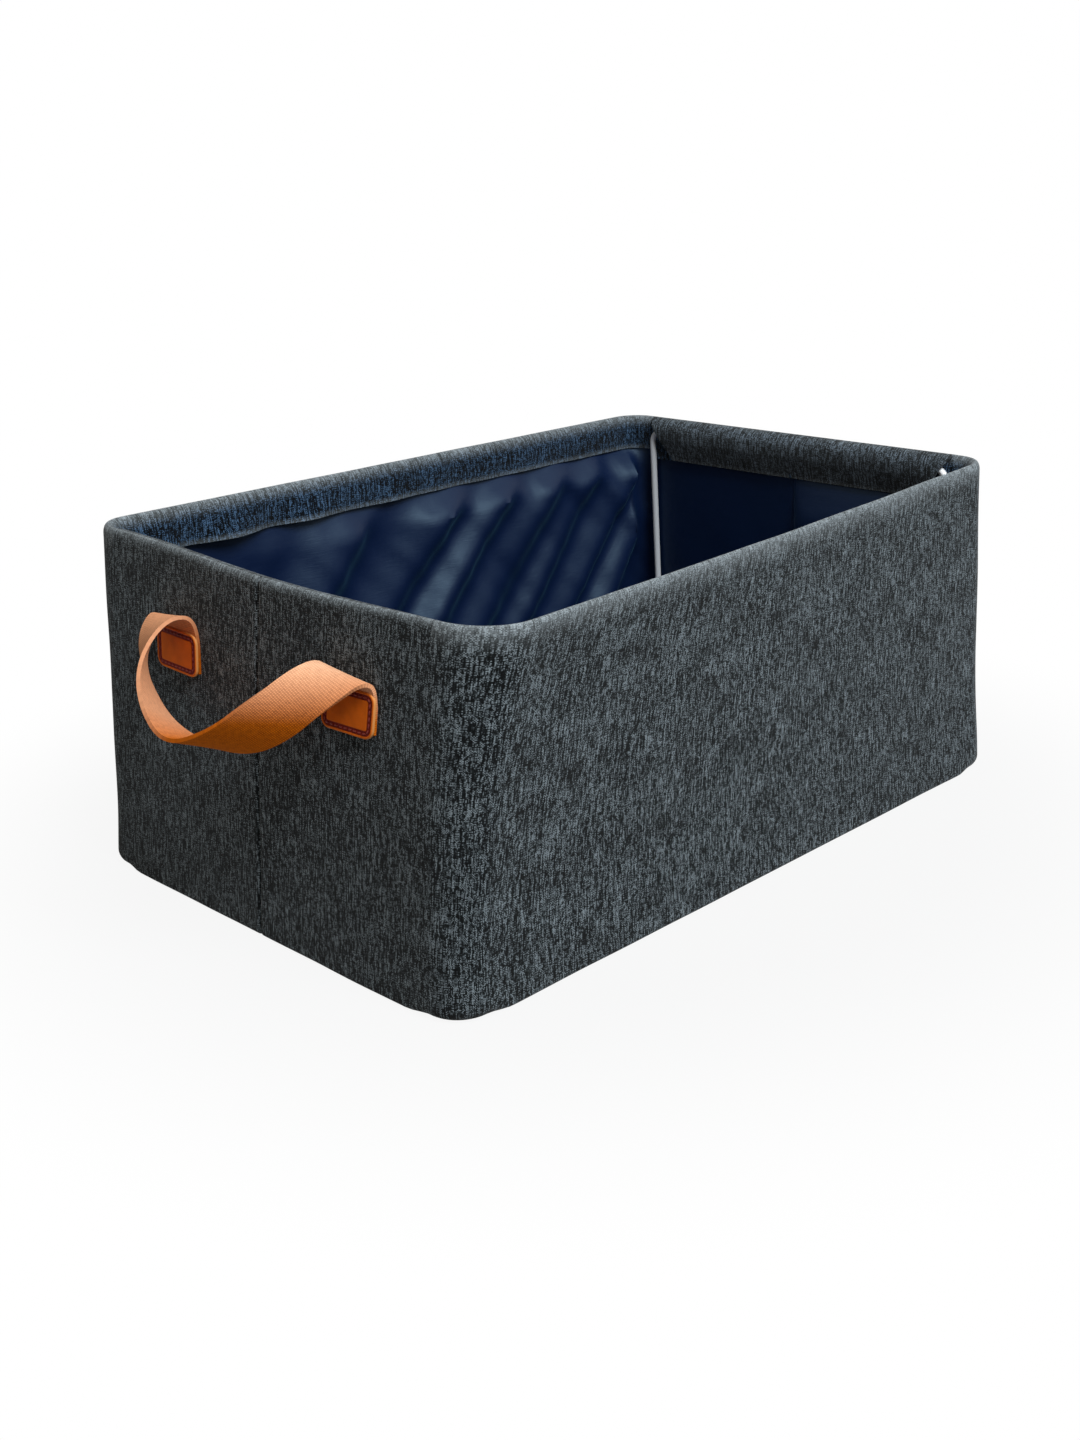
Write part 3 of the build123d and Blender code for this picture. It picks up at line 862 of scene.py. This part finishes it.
class BIN_OT_lining(bpy.types.Operator):
    """Hang the lining of the long walls and the ends"""

    bl_idname = "bin.lining"
    bl_label = "Lining"

    # Each fold's crest along the left wall, its lean, its width before and after, and height, in millimetres
    FOLDS = (
        (-118, 0.9, 22, 12, 2), (-60, 0.9, 30, 14, 8), (5, 0.95, 26, 16, 12), (50, 0.95, 20, 14, 12),
        (94, 0.85, 22, 16, 11), (132, 0.8, 18, 12, 9), (172, 0.8, 24, 10, 13), (208, 0.8, 24, 16, 15),
    )
    FOLD_LEVEL = 125  # height at which the crests are given
    RIGHT_SHARE = 0.45  # of the left wall's folds
    SETTLING = 25  # steps of the cloth simulation

    def execute(self, context):
        size, slack = context.scene.bin_sizes, context.scene.bin_slack
        taffeta = made_of(taffeta_lining)
        low = FLOOR_HIGH.z + 0.4 * MM
        first, *_, last = side_stations(size, "right")
        rise = spread(low, size.height - size.side_hem + 9 * MM, GRID)[:, None]
        for side, way in SIDES.items():
            around = np.sort(spread(first, last, GRID) * -way)
            free = self.free_share(around, rise, size, low)
            moves = self.settle(f"{side}_panel", around, rise, free, way)
            lift = slack.lining_lift * free + moves[..., 1]
            valley = 2.5 * MM * free  # rounds the valleys, where the lining comes to rest on the felt
            inset = size.lining_in + 0.3 * MM + (lift + np.hypot(lift, valley)) / 2
            points = wall_points(around + moves[..., 0], inset, rise + moves[..., 2])[::-1]
            lining = sew_sheet(f"{side}_side_lining_cloth", points, around, rise[::-1], size.lining, taffeta)
            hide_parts(f"{side}_side_lining")
            crumple(lining)

        rise = spread(size.height - size.end_hem + 8 * MM, low, GRID)[:, None]
        for end, side, way, local in end_halves(size):
            around = end_middle(size, end) + local
            seam = seam_dip(local, depth=-0.5 * MM, lip=0.1 * MM, width=1.2 * MM)
            inset = size.lining_in + seam + 0.5 * MM * waves(around, rise, width=30 * MM, seed=5 * way)
            if side == "right":
                inset = inset + self.proud(np.abs(local), rise, size)
            points = wall_points(around, inset, rise)
            lining = sew_sheet(f"{end}_end_lining_cloth_{side}", points, around, rise, size.lining, taffeta)
            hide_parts(f"{end}_end_lining_{side}")
            fold_blend(lining)
        return {"FINISHED"}

    def proud(self, off, rise, size):
        """How far half of an end's lining stands off between seam and edge; nothing by the bottom bar."""
        most, hem_edge = 5.5 * MM, size.height - size.end_hem + 4 * MM
        bulge = (1 - np.exp(-off / (4 * MM))) * ramp(size.end_half - off, 0, 30 * MM)
        return most * bulge * ramp(hem_edge - rise, 0, 26 * MM) * ramp(rise, 15 * MM, 40 * MM)

    def free_share(self, around, rise, size, low):
        """How free the lining is to fold: not at its edges or behind the hem, and fully away from them."""
        edge = np.minimum(np.abs(around - around[0]), np.abs(around - around[-1]))
        hem_edge = size.height - size.side_hem
        upright = ramp(hem_edge - rise, 0, 14 * MM) * ramp(rise, low + 4 * MM, 14 * MM)
        return ramp(edge, 5 * MM, 20 * MM) * upright

    def folds(self, along, up, free, way):
        """How far the lining's folds stand off the wall before it settles."""
        x = wall_points(along, bpy.context.scene.bin_sizes.lining_in, up)[..., 0] * way / MM
        start = 1.5 * MM * waves(along - 0.8 * up * way, 0.35 * up, width=13 * MM, seed=60 + way)
        for crest, lean, near, far, height in self.FOLDS:
            past = x - crest - lean * (up / MM - self.FOLD_LEVEL)
            start = start + height * MM * np.exp(-(past / np.where(past < 0, near, far)) ** 2)
        uneven = 1 + 0.3 * waves(along, up, width=60 * MM, seed=40 + way)
        return free * start * uneven * (1 if way > 0 else self.RIGHT_SHARE)

    def settle(self, name, around, rise, free, way):
        """Let a panel that was cut too big buckle into folds, and give how far its points move."""
        along, up = np.broadcast_arrays(around, rise)
        start = self.folds(along, up, free, way)
        hung = np.stack([along, start, up], axis=-1)
        panel = mesh_object(name, hung, sheet_faces(len(rise), len(around)))
        sewn = panel.vertex_groups.new(name="sewn")
        sewn.add([int(i) for i in np.flatnonzero(free.ravel() == 0)], 1.0, "REPLACE")
        settings = panel.modifiers.new("Cloth", "CLOTH").settings
        settings.quality = 6
        settings.mass = 0.05
        settings.tension_stiffness = settings.compression_stiffness = 20
        settings.shear_stiffness = 10
        settings.bending_stiffness = 1
        settings.vertex_group_mass = "sewn"
        settings.shrink_min = -bpy.context.scene.bin_slack.spare
        settings.effector_weights.gravity = 0
        for step in range(1, self.SETTLING + 1):
            bpy.context.scene.frame_set(step)
        settled = panel.evaluated_get(bpy.context.evaluated_depsgraph_get()).to_mesh()
        places = np.zeros(hung.size)
        settled.vertices.foreach_get("co", places)
        bpy.data.objects.remove(panel)
        bpy.context.scene.frame_set(1)
        moves = places.reshape(hung.shape) - hung
        for _ in range(3):
            near = np.pad(moves, ((1, 1), (1, 1), (0, 0)), mode="edge")
            moves = (near[:-2, 1:-1] + near[2:, 1:-1] + near[1:-1, :-2] + near[1:-1, 2:]) / 8 + moves / 2
        moves[..., 1] += start
        return moves


class BIN_OT_floor(bpy.types.Operator):
    """Lay the base cloth under the board and the lining over it"""

    bl_idname = "bin.floor"
    bl_label = "Floor"

    def execute(self, context):
        size = context.scene.bin_sizes
        radius = size.corner - (size.length / 2 - FLOOR_HIGH.x)
        lining = self.lay("floor_lining_cloth", FLOOR_HIGH, radius, size.lining, taffeta_lining)
        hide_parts("floor_lining")
        inner = Vector((1, 1, 0)) * (size.foot_round - 0.3 * MM)
        # The corner that meets the foot's larger radius on the slant
        radius = size.corner + (size.corner_foot - math.sqrt(2) * inner.x) / (math.sqrt(2) - 1)
        cloth = self.lay("base_underside", BASE_HIGH - inner, radius, size.cloth, heather_canvas)
        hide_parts("base_cloth")
        self.cut_board(size)
        return {"FINISHED"}

    def cut_board(self, size):
        """The stiff board, its corners and edges eased to sit inside the cloth's turned foot."""
        low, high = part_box("base_board")
        setback, corner, ease = 3.4 * MM, size.corner + 6 * MM, 0.5 * MM
        dimensions = high - low - Vector((2 * setback, 2 * setback, 0))
        board = start_block("stiff_board", dimensions, (low + high) / 2, corner, segments=8)
        pick(board, "FACE", lambda f: abs(f.normal.z) > 0.9)
        bpy.ops.mesh.region_to_loop()
        bpy.ops.mesh.bevel(offset=ease, segments=2)
        bpy.ops.object.mode_set(mode="OBJECT")
        finish_piece(board, made_of(hardboard))
        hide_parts("base_board")
        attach(board, "base")

    def lay(self, name, high, radius, thickness, finish):
        """A flat sheet with rounded corners, a little uneven."""
        half_x, half_y, top = high
        straight = half_y - radius
        y = joined(
            spread(-half_y, -straight, 1.5 * MM), spread(-straight, straight, 5 * MM),
            spread(straight, half_y, 1.5 * MM),
        )[:, None]
        past = np.clip(np.abs(y) - straight, 0, radius)
        x = (half_x - radius + np.sqrt(radius ** 2 - past ** 2)) * spread(-1, 1, 0.0125)
        uneven = 0.15 * MM * waves(x, y, width=30 * MM, seed=11)
        points = np.stack([x, y + 0 * x, top - 0.2 * MM + uneven], axis=-1)
        sheet = sew_sheet(name, points, x, y, thickness, made_of(finish))
        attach(sheet, "base")
        return sheet


class BIN_OT_hinge_sleeves(bpy.types.Operator):
    """Sew the sleeves on the floor that hold the bottom bars"""

    bl_idname = "bin.hinge_sleeves"
    bl_label = "Hinge sleeves"

    def execute(self, context):
        thickness, lap_gap = 0.5 * MM, 0.75 * MM
        radius = HINGE.z - FLOOR_HIGH.z - 0.05 * MM
        turn = np.radians(spread(-90, 235, 10))
        lap = spread(SLEEVE_HIGH.x - HINGE.x, radius, 2 * MM)
        lower = np.stack([lap, 0 * lap - radius], axis=-1)
        ring = np.stack([-radius * np.cos(turn), radius * np.sin(turn)], axis=-1)
        upper = np.stack([lap[::-1], 0 * lap - radius + lap_gap], axis=-1)
        section = np.concatenate([lower, ring[:-1], upper])
        run = run_along(section)[:, None]
        y = spread(SLEEVE_LOW.y, SLEEVE_HIGH.y, GRID)
        for end, way in ENDS.items():
            x = -way * section[:, :1] - way * HINGE.x + 0 * y
            z = section[:, 1:] + HINGE.z + 0 * y
            points = np.stack([x, y + 0 * x, z], axis=-1)
            points = points if way < 0 else points[:, ::-1]
            sleeve = sew_sheet(f"{end}_sleeve_cloth", points, y, run, thickness, made_of(taffeta_lining))
            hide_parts(f"{end}_hinge_sleeve")
            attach(sleeve, "base")
        return {"FINISHED"}


class BIN_OT_wire_rings(bpy.types.Operator):
    """Bend the front wire to the slack rim, and coat both wires"""

    bl_idname = "bin.wire_rings"
    bl_label = "Wire rings"

    def execute(self, context):
        radius, bend = 2 * MM, 8 * MM
        low, high = RING_LOW + Vector((1, 1, 1)) * radius, RING_HIGH - Vector((1, 1, 1)) * radius
        y, z = self.ring(low, high, bend).T
        x = low.x + (high.x - low.x) * (z - low.z) / (high.z - low.z)
        # At the near corner the wire stays back from the long wall and the floor, to clear them when folded
        line = soften(np.stack([x, y, z], axis=-1), follow=(0.6, 0.2, 1))
        curve, spline = new_curve("front_wire", "POLY", line)
        curve.bevel_depth = radius
        curve.bevel_resolution = 4
        spline.use_cyclic_u = True
        wire = bpy.data.objects.new("front_wire", curve)
        context.scene.collection.objects.link(wire)
        choose(wire)
        bpy.ops.object.convert(target="MESH")
        wire = context.object
        finish_piece(wire, made_of(coated_wire))
        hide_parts("front_wire_ring")
        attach(wire, "front_end")
        rear = frame["nodes"]["rear_wire_ring"]
        rear.data.materials.clear()
        rear.data.materials.append(made_of(coated_wire))
        return {"FINISHED"}

    def ring(self, low, high, bend):
        """Points of the wire's middle line across and up, closely spaced for it to bend."""
        centres = ((high.y - bend, high.z - bend), (low.y + bend, high.z - bend),
                   (low.y + bend, low.z + bend), (high.y - bend, low.z + bend))
        path = [
            (cy + bend * math.cos(a), cz + bend * math.sin(a))
            for k, (cy, cz) in enumerate(centres) for a in np.radians(spread(90 * k, 90 * k + 90, 10))
        ]
        points = []
        for (y0, z0), (y1, z1) in zip(path, path[1:] + path[:1]):
            steps = max(1, round(math.hypot(y1 - y0, z1 - z0) / (6 * MM)))
            points += [(y0 + (y1 - y0) * k / steps, z0 + (z1 - z0) * k / steps) for k in range(steps)]
        return np.array(points)


class BIN_OT_handles(bpy.types.Operator):
    """Sew on the webbing handles"""

    bl_idname = "bin.handles"
    bl_label = "Handles"

    # Sideways from the middle, up the wall and out from it, in millimetres, from a sewn end to the middle
    LOWER_EDGE = ((76.5, 123, 1.1), (76.5, 142, 1.5), (75.5, 149, 7), (68.5, 137.5, 18), (51.5, 119.5, 21),
                  (29.5, 106.5, 22.5), (0, 103, 23))
    UPPER_EDGE = ((46.5, 123, 1.1), (46.5, 142, 1.5), (47, 153, 6), (46, 152, 20.5), (38.5, 139, 38),
                  (25, 124, 47), (0, 112, 52))

    def execute(self, context):
        handle = context.scene.bin_handle
        lower, upper = (self.smooth_edge(points) for points in (self.LOWER_EDGE, self.UPPER_EDGE))
        # The lower edge hangs a little to the left of the sewn ends' middle
        lower[:, 0] -= 8 * MM * np.clip(1 - (lower[:, 0] / lower[0, 0]) ** 2, 0, 1)
        run = run_along((lower + upper) / 2)[:, None]
        across = spread(0, 1, 1 / 14)
        grid = lower[:, None] + (upper - lower)[:, None] * across[None, :, None]
        for end, way in ENDS.items():
            points = on_end(end, grid[..., 0], grid[..., 1], grid[..., 2])[:, ::way]
            wear = self.rubbed_and_highlit(run, across[::way])
            strap = sew_sheet(
                f"{end}_handle", points, across * handle.width, run, handle.thickness,
                made_of(cotton_webbing), wear,
            )
            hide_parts(f"{end}_handle_loop", f"{end}_strap_end_left", f"{end}_strap_end_right")
            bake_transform(strap)
        return {"FINISHED"}

    def rubbed_and_highlit(self, run, to_upper):
        """How pale the webbing is painted, rubbed wear and painted highlight together: all along its left
        half, and towards the sewn end on its right.
        """
        half = run[-1] / 2
        from_middle = np.abs(run - half) / half
        left = run > half
        bare = np.where(left, 0.0, 0.54 - 0.25 * to_upper)
        wear = np.clip((from_middle - bare) * 2.6, 0, np.where(left, 0.66, 1))
        wear = wear * np.clip((1 - from_middle) * 7 - 0.4, 0, 1)
        return wear * (1 - left * to_upper * ramp(from_middle, 0.725, 0.25))

    def smooth_edge(self, points):
        """A smooth line along an edge's points and their mirror images."""
        half = np.array(points, float)
        whole = np.concatenate([half, half[-2::-1] * (-1, 1, 1)]) * MM
        curve, spline = new_curve("edge", "NURBS", whole)
        curve.resolution_u = 10
        spline.order_u = 3
        spline.use_endpoint_u = True
        line = bpy.data.objects.new("edge", curve)
        mesh = bpy.data.meshes.new_from_object(line)
        values = np.array([v.co for v in mesh.vertices])
        bpy.data.objects.remove(line)
        bpy.data.meshes.remove(mesh)
        return values


class BIN_OT_patches(bpy.types.Operator):
    """Stitch a leather patch over each sewn end of the webbing"""

    bl_idname = "bin.patches"
    bl_label = "Patches"

    # Width and depth of each inset, in millimetres, from the eased edge over the groove to the raised field
    STEPS = ((0.4, 0.4), (0.6, 0), (0.3, -0.3), (2.2, 0), (0.4, 0.3), (0.3, 0))

    def execute(self, context):
        handle = context.scene.bin_handle
        path = self.stitch_line(handle)
        v = handle.patch_low + handle.patch_height / 2
        for end in ENDS:
            for side, sign in SIDES.items():
                place = self.place_on(end, -sign * handle.spacing / 2, v)
                patch = self.cut_patch(f"{end}_patch_{side}", handle)
                patch.data.transform(place)
                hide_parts(f"{end}_strap_patch_{side}")
                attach(patch, f"{end}_end")
                stitches = sew_stitches(
                    f"{end}_patch_stitches_{side}", path, 0.45 * MM, made_of(patch_thread)
                )
                stitches.data.transform(place)
                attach(stitches, f"{end}_end")
        return {"FINISHED"}

    def place_on(self, end, u, v):
        """Where a patch lies on the webbing: its own sideways, up and out, and its middle."""
        lift, reach = 2.1 * MM, 5 * MM
        sideways = on_end(end, u + reach, v, lift) - on_end(end, u - reach, v, lift)
        upwards = on_end(end, u, v + reach, lift) - on_end(end, u, v - reach, lift)
        across, up = Vector(sideways).normalized() * -ENDS[end], Vector(upwards).normalized()
        place = Matrix((across, up, across.cross(up))).transposed().to_4x4()
        place.translation = Vector(on_end(end, u, v, lift))
        return place

    def cut_patch(self, name, handle):
        """A rounded patch with a raised edge, made flat at the origin."""
        body, corner = handle.patch_thick - 0.4 * MM, 4.8 * MM
        dimensions = (handle.patch_width, handle.patch_height, body)
        patch = start_block(name, dimensions, (0, 0, body / 2), corner, segments=6)
        pick(patch, "FACE", lambda f: f.normal.z > 0.9)
        for width, depth in self.STEPS:
            bpy.ops.mesh.inset(thickness=width * MM, depth=depth * MM)
        bpy.ops.object.mode_set(mode="OBJECT")
        spots = np.array([v.co for v in patch.data.vertices])
        past = np.maximum(np.abs(spots[:, :2]) - (np.array(dimensions[:2]) / 2 - corner), 0)
        from_edge = corner - np.linalg.norm(past, axis=1)
        # The groove band takes the thread's dark red: thread colour and painted shade in the recess
        mark(patch, "groove", (from_edge > 1.15 * MM) & (from_edge < 3.7 * MM))
        mark(patch, "cut_edge", spots[:, 2] < body + 0.1 * MM)
        finish_piece(patch, made_of(bonded_leather))
        return patch

    def stitch_line(self, handle):
        """The row of stitches round a patch, a closed line in its groove."""
        inset, radius, z = 2.4 * MM, 1.8 * MM, handle.patch_thick - 0.15 * MM
        half_x, half_y = handle.patch_width / 2 - inset - radius, handle.patch_height / 2 - inset - radius
        turn = np.radians(spread(0, 90, 15))
        corners = [
            np.stack([sx * half_x + radius * np.cos(a), sy * half_y + radius * np.sin(a), z + 0 * a], axis=-1)
            for a, sx, sy in (
                (turn, 1, 1), (turn + np.pi / 2, -1, 1),
                (turn + np.pi, -1, -1), (turn + 3 * np.pi / 2, 1, -1),
            )
        ]
        return np.concatenate(corners + [corners[0][:1]])


class BIN_OT_stage(bpy.types.Operator):
    """Set the floor, the lamps, the world and the camera"""

    bl_idname = "bin.stage"
    bl_label = "Stage"

    def execute(self, context):
        scene = context.scene
        scene.view_settings.view_transform = "Standard"
        bpy.ops.object.select_all(action="DESELECT")
        bpy.ops.mesh.primitive_plane_add(size=12, location=(0, 0, 0))
        floor = context.object
        floor.name = "studio_floor"
        floor.data.materials.append(self.pale_floor())
        self.white_world(scene)
        for name, place, power, width, tint in LAMPS:
            bpy.ops.object.light_add(type="AREA", location=place)
            lamp = context.object
            lamp.name = name
            lamp.data.energy = power
            lamp.data.size = width
            lamp.data.color = linear(tint)[:3]
            lamp.rotation_euler = (-Vector(place)).to_track_quat("-Z", "Y").to_euler()
        self.aim_camera(scene)
        return {"FINISHED"}

    def aim_camera(self, scene):
        """The camera, where the fit puts it."""
        bpy.ops.object.camera_add()
        camera = bpy.context.object
        camera.name = "photo_camera"
        camera.data.sensor_width = CAMERA_SENSOR
        camera.data.lens = CAMERA_LENS
        azimuth, elevation, roll = (math.radians(angle) for angle in CAMERA_TURN)
        level = Vector((math.cos(azimuth), math.sin(azimuth), 0))
        away = Vector((math.sin(azimuth), -math.cos(azimuth), 0))
        back = math.cos(elevation) * away + math.sin(elevation) * Vector((0, 0, 1))
        up = back.cross(level)
        right = math.cos(roll) * level + math.sin(roll) * up
        turned_up = -math.sin(roll) * level + math.cos(roll) * up
        turn = Matrix((right, turned_up, back)).transposed().to_4x4()
        camera.matrix_world = Matrix.Translation(CAMERA_PLACE) @ turn
        scene.camera = camera

    def seen(self, add):
        """A share that is 1 for what the camera, a gloss or a clear surface sees."""
        path = add("LightPath")
        share = path, "Is Camera Ray"
        for ray in ("Is Glossy Ray", "Is Transmission Ray"):
            share = add("Math", {0: share, 1: (path, ray)}, operation="MAXIMUM")
        return share

    def pale_floor(self):
        """White paper: it takes a soft shadow near the bin and fades to plain white away from it."""
        material = bpy.data.materials.new("studio_floor")
        add = start_nodes(material)
        away = add("VectorMath", {0: (add("TexCoord"), "Object")}, operation="LENGTH")
        fade = add(
            "MapRange", {"Value": away, "From Min": 0.2, "From Max": 0.42, "To Min": 0.9, "To Max": 1.0},
            interpolation_type="SMOOTHSTEP",
        )
        share = add("Math", {0: fade, 1: self.seen(add)}, operation="MULTIPLY")
        paper = add("BsdfDiffuse", {"Color": linear("8c8c8c")})
        white = add("Emission", {"Strength": 1.0})
        add("OutputMaterial", {"Surface": add("MixShader", {0: share, 1: paper, 2: white})})
        return material

    def white_world(self, scene):
        """Even light from all round, white where it is seen."""
        scene.world = bpy.data.worlds.new("studio")
        add = start_nodes(scene.world)
        seen = self.seen(add)
        strength = add("Mix", {"Factor": seen, "A": WORLD_LIGHT, "B": 1.0}, data_type="FLOAT")
        colour = add("Mix", {"Factor": seen, "A": linear("fffaf0"), "B": linear("ffffff")}, data_type="RGBA")
        add("OutputWorld", {"Surface": add("Background", {"Color": colour, "Strength": strength})})


PIECES = (
    BIN_OT_stage,
    BIN_OT_outer_cloth,
    BIN_OT_interlining,
    BIN_OT_wire_tunnels,
    BIN_OT_lining,
    BIN_OT_floor,
    BIN_OT_hinge_sleeves,
    BIN_OT_wire_rings,
    BIN_OT_handles,
    BIN_OT_patches,
)


class BIN_PT_panel(bpy.types.Panel):
    """Lists the bin's pieces and values"""

    bl_idname = "BIN_PT_panel"
    bl_label = "Folding storage bin"
    bl_space_type = "VIEW_3D"
    bl_region_type = "UI"
    bl_category = "Bin"

    def draw(self, context):
        for piece in PIECES:
            self.layout.operator(piece.bl_idname)
        scene = context.scene
        for group in (scene.bin_sizes, scene.bin_slack, scene.bin_handle, scene.bin_colours):
            for name in group.__annotations__:
                self.layout.prop(group, name)


CLASSES = (BinSizes, BinSlack, HandleSizes, BinColours, *PIECES, BIN_PT_panel)


def register():
    for cls in CLASSES:
        bpy.utils.register_class(cls)
    bpy.types.Scene.bin_sizes = PointerProperty(type=BinSizes)
    bpy.types.Scene.bin_slack = PointerProperty(type=BinSlack)
    bpy.types.Scene.bin_handle = PointerProperty(type=HandleSizes)
    bpy.types.Scene.bin_colours = PointerProperty(type=BinColours)


def unregister():
    scene = bpy.types.Scene
    del scene.bin_sizes, scene.bin_slack, scene.bin_handle, scene.bin_colours
    for cls in reversed(CLASSES):
        bpy.utils.unregister_class(cls)


def main():
    register()
    for piece in PIECES:
        group, name = piece.bl_idname.split(".")
        getattr(getattr(bpy.ops, group), name)()


if __name__ == "__main__":
    main()
